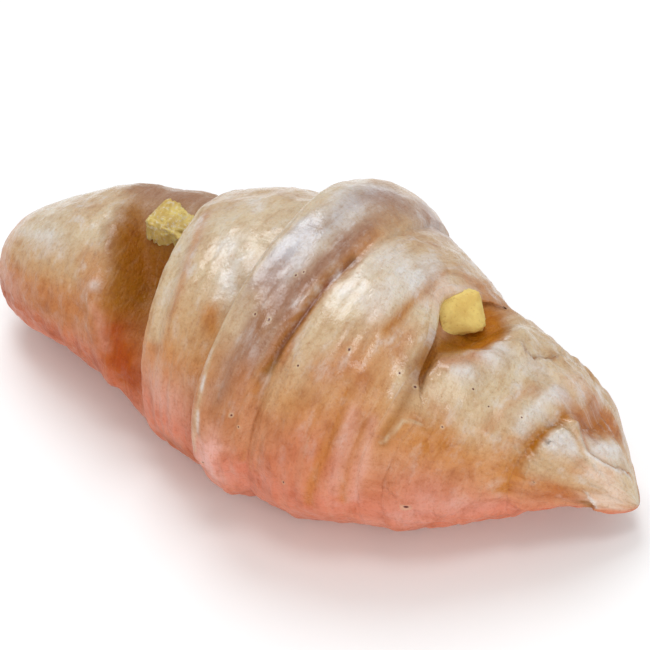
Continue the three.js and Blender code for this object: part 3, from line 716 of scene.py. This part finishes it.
# Strokes over the ground: colour, width in millimetres, strength, and path of (x, angle) points
STROKES = (
    # Left end
    ("tan", 5, 0.6, ((-53, 80), (-51, 107))),
    ("tan", 5, 0.7, ((-63, 38), (-54, 40), (-47, 42))),
    ("clay", 6, 0.9, ((-62, 14), (-52, 14), (-43, 18))),
    ("amber", 3, 0.5, ((-43.5, 56), (-39.5, 40))),
    # Painted highlights on the left end's top
    ("white", 3, 0.5, ((-58, 60), (-55, 57))),
    ("white", 2.4, 0.4, ((-66, 61),)),
    ("clay", 3, 0.5, ((-39.3, 44), (-39, 34))),
    # Painted highlight on the collar's ridge
    ("white", 1.2, 0.6, ((-39, 41),)),
    ("rust", 6, 0.5, ((-66, -5), (-48, -12), (-36, -14))),
    ("pink", 4, 0.35, ((-64, 16), (-62, 10))),
    # Painted shade, with some browning, in the recess beside the left shoulder
    ("brown", 3.5, 0.6, ((-43, 90), (-39.8, 74), (-35.9, 56), (-34.1, 36))),
    ("rust", 3.5, 0.9, ((-32.2, 18), (-30.6, 8), (-27.5, -10))),
    ("pink", 1, 0.3, ((-37.5, 30), (-35.5, 24), (-32.8, 8))),
    ("taupe", 4, 0.7, ((-45.3, 114), (-38.8, 118), (-33.2, 120))),
    # Left shoulder
    ("cream", 2.2, 0.7, ((-25, 76), (-23.6, 62), (-20.9, 46), (-19.8, 31))),
    ("clay", 1.2, 0.6, ((-24.3, 91), (-20.5, 72), (-18, 56), (-16.6, 44))),
    ("tan", 5, 0.4, ((-25, 105), (-19.4, 108), (-12.8, 112))),
    # Painted highlight on the left shoulder's crown
    ("white", 2.4, 0.5, ((-13, 75), (-10.2, 68), (-8.8, 60))),
    ("tan", 2.5, 0.35, ((-16, 66),)),
    ("orange", 1.8, 0.8, ((-9, 48), (-7.5, 44))),
    ("tan", 4, 0.5, ((-14, 44), (-12, 36))),
    ("pink", 4, 0.35, ((-12.6, 8), (-15.5, 9))),
    ("rust", 3, 0.8, ((-15.4, -23), (-9.4, -20))),
    # Band
    # The lavender strokes are painted sheen on the band's crown
    ("lavender_sheen", 4, 0.75, ((1.4, 64), (2, 70), (2.8, 80), (3.4, 92), (3.8, 105), (4.6, 115))),
    ("taupe", 2.2, 0.45, ((0.6, 62), (1.6, 68))),
    ("lavender_sheen", 2.4, 0.6, ((0.5, 84), (0.2, 76))),
    ("taupe", 4.5, 0.95, ((2, 53), (3, 43), (2.6, 36), (1.9, 25))),
    ("taupe", 1.8, 0.8, ((9.3, 98), (8, 84), (6.6, 72), (5.6, 60))),
    ("brown", 2.4, 0.4, ((3, 56), (3.4, 49))),
    ("clay", 2.4, 0.7, ((4.6, 33), (4.2, 24), (3.6, 16))),
    ("taupe", 4, 0.9, ((7.2, 114), (9.9, 118), (11.7, 123), (13, 135))),
    ("clay", 3, 0.6, ((1.3, 18), (0.4, 12))),
    ("cream", 1.8, 0.5, ((-0.4, 55), (-0.8, 47))),
    ("taupe", 2.5, 0.7, ((9.9, 118),)),
    ("pink", 3, 0.9, ((0.1, 5), (-0.7, -3), (-0.3, -12))),
    ("taupe", 2.2, 0.9, ((10, 109), (9.6, 99), (8.6, 84), (7.4, 72), (6.7, 62), (6.9, 50), (6.7, 40))),
    # Painted shade, with some browning, down the band crease and its lines
    ("orange", 1.5, 0.7, FOLDS["band crease"][-1][:5]),
    ("brown", 0.9, 0.8, ((10.9, 84), (9.4, 67), (7.9, 48), (7.3, 34))),
    ("umber", 0.45, 0.6, ((10.9, 84), (9.4, 67), (7.9, 48), (7.3, 34), (7, 22))),
    ("brown", 1.4, 0.35, ((9.8, 74), (9.2, 66))),
    ("peach", 2, 0.6, ((-2.2, 18), (-2, 12))),
    ("clay", 0.6, 0.7, ((7.3, 34), (6.9, 18), (5.6, 0))),
    ("clay", 0.6, 0.6, FOLDS["band line 1"][-1]),
    ("clay", 0.6, 0.5, FOLDS["band line 2"][-1]),
    ("peach", 2.2, 0.7, ((6.1, 20), (5.3, 10))),
    ("peach", 2.4, 0.6, ((10, 22), (9, 12))),
    ("tan", 1.6, 0.5, ((9.4, 36), (9.2, 28))),
    ("cream", 0.5, 0.5, ((-3.6, -1), (-2.4, 22), (-3.1, 38), (-3, 60), (-2.2, 83), (-0.6, 107))),
    # Right shoulder
    # The white strokes of the right shoulder are painted highlights on its crown
    ("white", 2, 0.3, ((15.6, 95), (15, 84), (13.8, 75), (13.5, 68))),
    ("white", 3.6, 0.55, ((16.4, 90), (19.7, 89), (23.2, 86), (24.6, 95), (22.4, 100))),
    ("tan", 4, 0.6, ((13.1, 114), (17.3, 115), (21.7, 111))),
    ("tan", 4, 0.6, ((13, 104), (17, 108), (20, 112))),
    ("white", 2.6, 0.55, ((20, 77), (20.5, 69))),
    ("cream", 3.2, 0.5, ((14, 52), (13.6, 42), (12.6, 32))),
    ("clay", 3, 0.8, ((21.5, 50), (18.6, 46), (16.5, 44))),
    ("clay", 1.8, 0.6, ((18.9, 53),)),
    ("orange", 3, 0.5, ((13.1, 31),)),
    ("clay", 1.8, 0.7, ((22.9, 47),)),
    ("amber", 3.6, 0.65, ((22.9, 61), (25.5, 60), (24.7, 53), (26.5, 45), (24.2, 34))),
    ("gold", 1, 0.75, ((23.9, 106), (23.6, 98), (24.1, 88), (24, 81), (23.9, 71), (23.2, 65))),
    ("white", 1.6, 0.7, ((21.6, 106), (21.7, 96), (22, 88))),
    ("blush", 1.2, 0.8, ((25.4, 100), (25.8, 91), (25.8, 84))),
    ("clay", 3, 0.6, ((27, 112), (30, 118), (33, 122))),
    ("blush", 1.2, 0.8, ((29, 110), (27.4, 104), (26.8, 97), (26.8, 90), (27.2, 84))),
    ("cream", 0.9, 0.6, ((26.6, 84), (28.2, 75), (29, 66), (29.1, 57), (28.9, 49))),
    ("clay", 2.2, 0.5, ((26.3, 68), (26, 62))),
    ("brick", 4, 0.55, ((12.7, 8), (17, 19), (22, 17))),
    # Painted shade, with some browning, in the belly creases
    ("orange", 0.8, 0.6, FOLDS["belly crease 1"][-1]),
    ("orange", 0.8, 0.5, ((24.8, 25), (24.7, -3))),
    ("clay", 3, 0.6, ((24.2, 34), (22.5, 29))),
    ("pink", 1, 0.4, FOLDS["belly fold 1"][-1]),
    ("pink", 1, 0.4, ((27.4, 35), (27.6, 19), (26.7, -1))),
    # Painted shade, with some browning, in the lip groove
    ("brown", 0.8, 0.6, FOLDS["lip groove"][-1]),
    # Pocket of the right filling: painted shade, with some browning, on its floor and wall
    ("brown", 2.5, 0.58, ((31, 62), (33.5, 72), (35.5, 84))),
    ("orange", 2.5, 0.75, ((35.5, 84), (36.3, 95), (34.2, 101), (33, 112))),
    # Right neck
    # Painted shade at the lip's edge and low in the pocket
    ("brown", 1.2, 0.65, ((29.8, 72), (30.7, 64), (30.7, 56))),
    ("brown", 1.6, 0.35, ((35.3, 67),)),
    ("clay", 2.2, 0.7, ((34, 66), (35.4, 69), (37.2, 77))),
    # Painted glints on the neck's lumps
    ("white", 1.6, 0.85, ((36.4, 64), (37.8, 66.5))),
    ("white", 2.2, 0.8, ((39.4, 79), (40.2, 82), (39.9, 87))),
    ("cream", 3, 0.5, ((34, 53), (40.8, 49))),
    ("clay", 2.4, 0.5, ((37.3, 47), (34.9, 48))),
    ("clay", 2.4, 0.6, ((39, 34),)),
    ("tan", 3, 0.5, ((45, 107), (47.2, 113))),
    ("orange", 3, 0.5, ((37.8, 40), (36.4, 32), (34, 36), (40.2, 34))),
    ("clay", 1.8, 0.5, ((46.5, 80), (45.4, 68), (44.6, 58), (43.5, 48))),
    ("amber", 2, 0.6, ((47.6, 50), (47, 42), (46.4, 34))),
    ("cream", 2.6, 0.95, ((43.4, 83), (44.7, 93), (46.7, 95))),
    # Painted highlight on the neck
    ("white", 2.2, 0.5, ((44.7, 93),)),
    ("blush", 2.4, 0.7, ((52.7, 109), (51.5, 104))),
    ("cream", 2.2, 0.6, ((43.6, 70), (43, 64))),
    ("brick", 5, 0.5, ((34.8, 9), (39, 9))),
    # Painted highlight along the neck ridge
    ("white", 1.5, 0.8, ((51, 90), (49.4, 79), (48.5, 67), (48, 57))),
    ("pink", 4, 0.35, ((35.1, -8), (38.1, 4), (43.8, 1))),
    ("orange", 1.3, 0.8, ((51, 62), (50, 46), (49.2, 30), (48.1, 15))),
    ("gold", 1.4, 0.9, ((53, 80), (52, 72), (51, 62), (50.2, 52))),
    # Right end
    # Painted highlight on the end's facet
    ("white", 1.7, 1, ((54.8, 69), (53.8, 58), (55.8, 62), (55.9, 69))),
    ("tan", 3, 0.6, ((54.8, 43), (57.8, 57), (57.2, 40))),
    ("cream", 2.4, 0.35, ((52.2, 41),)),
    ("amber", 1.8, 0.5, ((58.8, 57), (58, 50))),
    ("rust", 3, 0.6, ((54.3, 18), (56.2, 27), (58.5, 22))),
    # Painted shade, with some browning, in the hollow of the right end
    ("clay", 3.6, 1, ((55.6, 88), (57.4, 100), (57.9, 112))),
    ("brown", 2.4, 0.35, ((57, 88), (57.6, 104))),
    # Painted highlight on the lump under the hollow
    ("white", 1.8, 0.95, ((59.3, 79), (60.7, 90), (61.8, 98))),
    ("blush", 3.2, 0.9, ((62.4, 74), (62.4, 52), (64.4, 60), (63.2, 34), (63.6, 18))),
    # Painted shade in the notch of the tail
    ("brown", 0.9, 0.9, ((60.2, 20), (60.9, 5), (61, -6))),
    ("white", 0.35, 0.7, ((60.2, 36), (61.3, 26), (61.9, 10))),
    ("tan", 0.9, 0.8, ((55.6, 75), (56.8, 70.5), (57.8, 67.5))),
    # Painted shadow behind the flap's torn edge, and a painted highlight along the edge
    ("clay", 0.5, 0.8, ((64.9, 98), (63.1, 82.5), (61.1, 75), (58.4, 72.5), (57.4, 75.5), (56, 81))),
    ("white", 0.45, 0.9, ((64.6, 92), (62.9, 78), (60.9, 71.5), (58.3, 68.5))),
    # Torn flakes
    # Painted highlight on the rim of the lip flake's torn edge
    ("cream", 0.25, 0.65, ((29.4, 27.5), (30.5, 32.5), (31.4, 38.7), (32.9, 39.3), (34, 39.3))),
    ("white", 0.3, 0.7, ((-2.8, 30), (-2.5, 26))),
    ("white", 0.3, 0.6, ((-2.3, 18), (-2.2, 10))),
    ("cream", 0.5, 0.6, FLAKES["thin flake"][-1]),
    # Painted shade in the neck crack
    ("brown", 0.4, 0.8, FLAKES["neck crack"][-1][:-1]),
)

# Strokes waver as fine relief does, and narrow strokes less
STROKE_WAVER = ((1.1, 6.0, 30, 31), (0.6, 2.2, 70, 32))
STROKE_WAVER_WIDTH = 3.0

# White that the gloss adds, the share of it that bare crust has, and the least that is left of a colour
GLOSS_WHITE = 0.065
GLOSS_LEAST = 0.5
LEAST_TINT = 0.004

# Painted shade, with some browning, in creases and hollows; in the hollows it turns from rust to brown with
# the angle
CREASE_SHADE_COLOUR = "orange"
CREASE_SHADE_STRENGTH = 0.7
RECESS_TONE = (65.0, 75.0)
RECESS_BORDER = (-1 / 3, 1 / 2)
POCKET_TONE = (0.0, 0.45)
HOLLOW_SHADE_TURN = (-12.0, 26.0)

# The left end's point has one colour and glaze all round
LEFT_END_COLOUR = "peach"
LEFT_END_STRENGTH = 0.9
LEFT_END_REACH = 6.0
LEFT_END_GLAZE = 0.45


def linear(colour):
    """Scene-linear values of a colour given out of 255."""
    share = np.array(colour, float) / 255.0
    return np.where(share <= 0.04045, share / 12.92, ((share + 0.055) / 1.055) ** 2.4)


TINTS = {name: linear(colour) for name, colour in PALETTE.items()}


def without_gloss(colour, gloss):
    """Gloss adds a little white to every colour, so it is taken off beforehand."""
    return np.maximum(colour - gloss, LEAST_TINT)


def paint(x, crease):
    """Colour and glaze of each place on the skin."""
    angle = np.broadcast_to(ANGLES, x.shape)
    stops = [at for at, _ in GROUND]
    ground = np.array([TINTS[name] for _, name in GROUND])
    colour = np.stack([np.interp(angle, stops, ground[:, k]) for k in range(3)], -1)
    # Painted shade, with some browning, in the left recess and the right pocket
    depth = np.maximum(recess_depth(x, angle), pocket_depth(x, angle))
    hollow = lerp(TINTS["rust"], TINTS["brown"], smooth(angle, *HOLLOW_SHADE_TURN)[..., None])
    colour = lerp(colour, hollow, depth[..., None])
    waver = skin_noise(STROKE_WAVER, x, angle)
    end = np.exp(-((np.maximum(x - left_tip(angle) + waver, 0.0) / LEFT_END_REACH) ** 2))
    colour = lerp(colour, TINTS[LEFT_END_COLOUR], LEFT_END_STRENGTH * end[..., None])
    for name, width, strength, path in STROKES:
        gap = np.maximum(path_distance(x, angle, path) + waver * min(1.0, width / STROKE_WAVER_WIDTH), 0.0)
        cover = strength * np.exp(-((gap / width) ** 2))
        colour = lerp(colour, TINTS[name], cover[..., None])
    # Painted shade, with some browning, in the creases under the lips
    colour = lerp(colour, TINTS[CREASE_SHADE_COLOUR], CREASE_SHADE_STRENGTH * crease[..., None])
    glaze = lerp(np.interp(angle, *zip(*GLAZE)), LEFT_END_GLAZE, end) * (1.0 - depth) * (1.0 - crease)
    colour = without_gloss(colour, GLOSS_WHITE * lerp(GLOSS_LEAST, 1.0, glaze[..., None]))
    return np.concatenate([colour, glaze[..., None]], -1)


# Painted shade, with some browning, fills the recess
def recess_depth(x, angle):
    """1 in the recess beside the left shoulder and 0 away from it."""
    share = between(x, angle, left_tip, left_lip)
    border = recess_border(angle)
    start, full = (border + RECESS["slope"] * step for step in RECESS_BORDER)
    covered = smooth(share, start, full) * (share < 1.0)
    return covered * hump(angle, *RECESS_TONE)


# Painted shade, with some browning, fills the pocket
def pocket_depth(x, angle):
    """1 in the pocket under the right lip and 0 away from it."""
    return (x > right_lip(angle)) * smooth(pocket_share(x, angle), *POCKET_TONE)


class Shader:
    """Short ways to add and join the nodes of one material."""

    def __init__(self, name):
        self.material = bpy.data.materials.new(name)
        self.material.use_nodes = True
        self.tree = self.material.node_tree
        self.principled = self.tree.nodes["Principled BSDF"]
        self.spot = self.node("ShaderNodeTexCoord", "Object")

    def set(self, target, value):
        if isinstance(value, bpy.types.NodeSocket):
            self.tree.links.new(value, target)
        else:
            target.default_value = value

    def node(self, kind, output=0, settings=None, **inputs):
        added = self.tree.nodes.new(kind)
        for key, value in (settings or {}).items():
            setattr(added, key, value)
        for key, value in inputs.items():
            self.set(added.inputs[key.replace("_", " ")], value)
        return added.outputs[output]

    def field(self, name, output):
        return self.node("ShaderNodeAttribute", output, {"attribute_name": name})

    def operate(self, kind, operation, a, b, output=0):
        added = self.tree.nodes.new(kind)
        added.operation = operation
        self.set(added.inputs[0], a)
        self.set(added.inputs[1], b)
        return added.outputs[output]

    def math(self, operation, a, b):
        return self.operate("ShaderNodeMath", operation, a, b)

    def vector(self, operation, a, b, output=0):
        return self.operate("ShaderNodeVectorMath", operation, a, b, output)

    def noise(self, place, scale, detail, roughness):
        return self.node("ShaderNodeTexNoise", Vector=place, Scale=scale, Detail=detail, Roughness=roughness)

    def ramp(self, value, low, high, to_low=0.0, to_high=1.0):
        return self.node("ShaderNodeMapRange", 0, {"interpolation_type": "SMOOTHSTEP"}, Value=value,
                         From_Min=low, From_Max=high, To_Min=to_low, To_Max=to_high)

    def mix(self, share, a, b, blend="MIX"):
        added = self.tree.nodes.new("ShaderNodeMix")
        added.data_type = "RGBA"
        added.blend_type = blend
        self.set(added.inputs["Factor"], share)
        self.set(added.inputs["A"], a)
        self.set(added.inputs["B"], b)
        return added.outputs["Result"]

    def bump(self, height, distance, strength, normal=None):
        added = self.node("ShaderNodeBump", Height=height, Distance=distance, Strength=strength)
        if normal is not None:
            self.set(added.node.inputs["Normal"], normal)
        return added

    def finish(self, values):
        for name, value in values.items():
            self.set(self.principled.inputs[name], value)


def opaque(colour):
    return (*colour, 1.0)


def tint(name):
    return opaque(without_gloss(TINTS[name], GLOSS_WHITE))


# Noises over the crust's skin: steps for each millimetre of x, of angle and of streak, detail and roughness
SKIN_NOISES = {
    "sheet": ((0.0, 0.18, 0.36), 4.0, 0.6),
    "streak": ((0.0, 0.07, 0.9), 3.0, 0.6),
    "crinkle": ((0.0, 0.45, 0.9), 5.0, 0.65),
    "creping": ((0.0, 0.25, 1.1), 3.0, 0.6),
}

# Noises through the crust and the filling: steps for each metre, detail and roughness
SPACE_NOISES = {"blotch": (150.0, 4.0, 0.6), "speck": (1500.0, 2.0, 0.6), "lumps": (520.0, 4.0, 0.62)}
CRUMB_NOISE = (1400.0, 3.0, 0.6)
PATCH_NOISE = (260.0, 3.0, 0.5)

# Layers over the painted crust, in turn: kind, noise, its value where the layer starts and is full, strength
CRUST_LAYERS = (
    ("toast", "blotch", 0.52, 0.3, 0.5),
    ("toast", "sheet", 0.5, 0.28, 0.6),
    ("toast", "streak", 0.48, 0.25, 0.3),
    ("frost_and_glint", "sheet", 0.5, 0.75, 0.55),
    ("bloom", "streak", 0.52, 0.8, 0.25),
    ("toast", "crinkle", 0.46, 0.34, 0.3),
    # Painted glints: small white flecks on the crinkles of the glaze
    ("frost_and_glint", "crinkle", 0.55, 0.68, 0.14),
    ("toast", "speck", 0.52, 0.25, 0.45),
)
TOASTED = (0.74, 0.56, 0.38, 1.0)
BLOOM_CREAM = 0.6

# Pores: shares of the radius where rim and hole start and are full, and the pale rim's strength
PORE_RIM = (2.2, 1.2)
PORE_HOLE = (0.9, 0.4)
PORE_RIM_STRENGTH = 0.35

# Bumps of the crust, each over the one before, and of the glaze alone: noise, height and strength
CRUST_BUMPS = (("speck", 0.1 * MM, 0.5), ("creping", 0.6 * MM, 0.5), ("lumps", 1.6 * MM, 0.4))
GLAZE_BUMP = ("lumps", 1.6 * MM, 0.12)

# Finish of the crust and the filling; roughness runs over the middle of a noise
NOISE_MIDDLE = (0.3, 0.7)
CRUST_ROUGHNESS = (0.5, 0.32)
GLAZE_COAT = 0.85
CRUST_FINISH = {
    "Specular IOR Level": 0.15,
    "Coat Roughness": 0.17,
    "Coat IOR": 1.6,
    "Subsurface Weight": 0.08,
    "Subsurface Radius": (1.0, 0.5, 0.25),
    "Subsurface Scale": 1.2 * MM,
}
FILLING_ROUGHNESS = (0.75, 0.55)
FILLING_BUMP = (0.3 * MM, 0.7)
FILLING_FINISH = {
    "Subsurface Weight": 0.15,
    "Subsurface Radius": (1.0, 0.7, 0.3),
    "Subsurface Scale": 1.5 * MM,
}

# Filling's patches, pits and loose crumbs: noise value where they start and are full, least and full share
FILLING_PATCHES = (0.35, 0.65)
FILLING_PITS = (0.45, 0.25, 0.0, 0.5)
FILLING_CRUMBS = (0.5, 0.65, 0.0, 0.7)


def crust_material():
    """Sugar glaze over a baked crust: painted colour, broken up by streaks, blotches, specks and pores."""
    s = Shader("glazed_crust")
    colour = s.field("paint", "Color")
    glaze = s.field("paint", "Alpha")
    chart = s.field("chart", "Vector")
    noises = {name: s.noise(s.spot, *settings) for name, settings in SPACE_NOISES.items()}
    for name, (steps, detail, roughness) in SKIN_NOISES.items():
        noises[name] = s.noise(s.vector("MULTIPLY", chart, steps), 1.0, detail, roughness)
    for kind, name, begin, full, strength in CRUST_LAYERS:
        cover = s.ramp(noises[name], begin, full, 0.0, strength)
        if kind == "toast":
            colour = s.mix(cover, colour, TOASTED, "MULTIPLY")
        # Frost mixes in white where the glaze lies thick, and painted glints on its crinkles
        elif kind == "frost_and_glint":
            colour = s.mix(s.math("MULTIPLY", cover, glaze), colour, tint("white"))
        else:
            colour = s.mix(cover, colour, s.mix(BLOOM_CREAM, colour, tint("cream")))
    rims = s.math("MULTIPLY", pore_mask(s, chart, *PORE_RIM), PORE_RIM_STRENGTH)
    colour = s.mix(rims, colour, tint("cream"))
    colour = s.mix(pore_mask(s, chart, *PORE_HOLE), colour, tint("umber"))
    normal = None
    for name, height, strength in CRUST_BUMPS:
        normal = s.bump(noises[name], height, strength, normal)
    name, height, strength = GLAZE_BUMP
    s.finish({
        **CRUST_FINISH,
        "Base Color": colour,
        "Roughness": s.ramp(noises["blotch"], *NOISE_MIDDLE, *CRUST_ROUGHNESS),
        "Coat Weight": s.ramp(glaze, 0.0, 1.0, 0.0, GLAZE_COAT),
        "Normal": normal,
        "Coat Normal": s.bump(noises[name], height, strength),
    })
    return s.material


def pore_mask(s, chart, outer, inner):
    """1 within the inner share of each pore's radius and 0 outside its outer share."""
    flat = s.vector("MULTIPLY", chart, (1.0, 1.0, 0.0))
    dark = None
    for x, angle, radius in PORES:
        gap = s.vector("DISTANCE", flat, (x, angle * FOLD_MM_PER_DEGREE, 0.0), "Value")
        spot = s.ramp(gap, radius * outer, radius * inner)
        dark = spot if dark is None else s.math("MAXIMUM", dark, spot)
    return dark


def filling_material():
    """Crumbly baked custard."""
    s = Shader("custard_filling")
    baked = s.field("baked", "Fac")
    crumb = s.noise(s.spot, *CRUMB_NOISE)
    patches = s.ramp(s.noise(s.spot, *PATCH_NOISE), *FILLING_PATCHES)
    loose = s.math("MULTIPLY", s.ramp(crumb, *FILLING_CRUMBS), baked)
    colour = s.mix(patches, opaque(linear(FILLING_DEEP)), opaque(linear(FILLING_BRIGHT)))
    colour = s.mix(s.ramp(crumb, *FILLING_PITS), colour, opaque(linear(FILLING_PIT)))
    colour = s.mix(loose, colour, opaque(linear(FILLING_LOOSE)))
    # Painted shade on the filling's left end, which sits deep in the recess
    colour = s.mix(baked, colour, opaque([FILLING_SHADE_TONE] * 3), "MULTIPLY")
    s.finish({
        **FILLING_FINISH,
        "Base Color": colour,
        "Roughness": s.ramp(crumb, *NOISE_MIDDLE, *FILLING_ROUGHNESS),
        "Normal": s.bump(crumb, *FILLING_BUMP),
    })
    return s.material


# Floor: tones of its faint clouds, their noise as above, and side in metres
FLOOR_TONES = (0.95, 0.97)
FLOOR_NOISE = (8.0, 2.0, 0.5)
FLOOR_ROUGHNESS = 0.8
FLOOR_SIDE = 4.0


def floor_material():
    s = Shader("pale_floor")
    dim, bright = (opaque([tone] * 3) for tone in FLOOR_TONES)
    s.finish({"Base Color": s.mix(s.noise(s.spot, *FLOOR_NOISE), dim, bright), "Roughness": FLOOR_ROUGHNESS})
    return s.material


def make_dough():
    x, reach, streak, crease = build_skin()
    around = np.broadcast_to(ANGLES * FOLD_MM_PER_DEGREE, x.shape)
    chart = np.stack([x, around, streak], -1)
    dough = loft("dough_crust", place(x, reach), {"paint": paint(x, crease), "chart": chart})
    cut_flat_base(dough)
    dough.data.materials.append(crust_material())
    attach(dough, "root")
    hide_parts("dough")


def make_filling():
    points, baked = filling_surface()
    filling = loft("custard_log", points, {"baked": baked})
    filling.data.materials.append(filling_material())
    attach(filling, "root")
    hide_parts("filling")


# Photograph's view: where the camera stands, in degrees and millimetres, its focal length and the
# picture's side in pixels, a point on the roll, and how far right and up of it the picture's middle is
VIEW_AZIMUTH = 30.0
VIEW_ELEVATION = 39.0
VIEW_DISTANCE = 367.0
VIEW_FOCAL_PIXELS = 1900.0
VIEW_PIXELS = 650.0
VIEW_TARGET = (3.8, -0.79, 21.0)
VIEW_RIGHT = 2.51
VIEW_UP = 3.86
SENSOR_WIDTH = 36.0
NEAREST_SEEN = 10.0


def make_camera():
    azimuth = math.radians(VIEW_AZIMUTH)
    elevation = math.radians(VIEW_ELEVATION)
    back = Vector((math.sin(azimuth) * math.cos(elevation), -math.cos(azimuth) * math.cos(elevation),
                   math.sin(elevation)))
    turn = back.to_track_quat("Z", "Y")
    aim = Vector(VIEW_TARGET) + turn @ Vector((VIEW_RIGHT, VIEW_UP, 0.0))
    lens = bpy.data.cameras.new("photo_view")
    lens.sensor_width = SENSOR_WIDTH
    lens.lens = VIEW_FOCAL_PIXELS / VIEW_PIXELS * SENSOR_WIDTH
    lens.clip_start = NEAREST_SEEN * MM
    camera = bpy.data.objects.new("photo_view", lens)
    camera.rotation_mode = "QUATERNION"
    camera.rotation_quaternion = turn
    camera.location = (aim + VIEW_DISTANCE * back) * MM
    bpy.context.collection.objects.link(camera)
    bpy.context.scene.camera = camera


# Lights: place in metres, size of the panel, power and colour; each faces the croissant
LIGHTS = {
    "key": ((-0.40, 0.32, 0.86), 0.62, 4.2, (0.92, 0.96, 1.0)),
    "top": ((0.10, -0.18, 0.95), 0.32, 1.3, (0.96, 0.98, 1.0)),
    "fill": ((0.60, -0.70, 0.38), 0.9, 4.0, (1.0, 0.98, 0.95)),
}
WORLD_STRENGTH = 0.58


def make_stage():
    floor_mesh = bpy.data.meshes.new("floor")
    half = FLOOR_SIDE / 2
    corners = [(-half, -half, 0), (half, -half, 0), (half, half, 0), (-half, half, 0)]
    floor_mesh.from_pydata(corners, [], [(0, 1, 2, 3)])
    floor_mesh.materials.append(floor_material())
    floor = bpy.data.objects.new("floor", floor_mesh)
    bpy.context.collection.objects.link(floor)
    for name, (at, size, power, colour) in LIGHTS.items():
        panel = bpy.data.lights.new(name, "AREA")
        panel.shape = "DISK"
        panel.size = size
        panel.energy = power
        panel.color = colour
        lamp = bpy.data.objects.new(name, panel)
        lamp.location = at
        lamp.rotation_mode = "QUATERNION"
        lamp.rotation_quaternion = Vector(at).to_track_quat("Z", "Y")
        bpy.context.collection.objects.link(lamp)
    world = bpy.data.worlds.new("studio")
    world.use_nodes = True
    background = world.node_tree.nodes["Background"].inputs
    background["Color"].default_value = opaque([1.0] * 3)
    background["Strength"].default_value = WORLD_STRENGTH
    bpy.context.scene.world = world
    bpy.context.scene.view_settings.view_transform = "Standard"


make_camera()
make_dough()
make_filling()
make_stage()
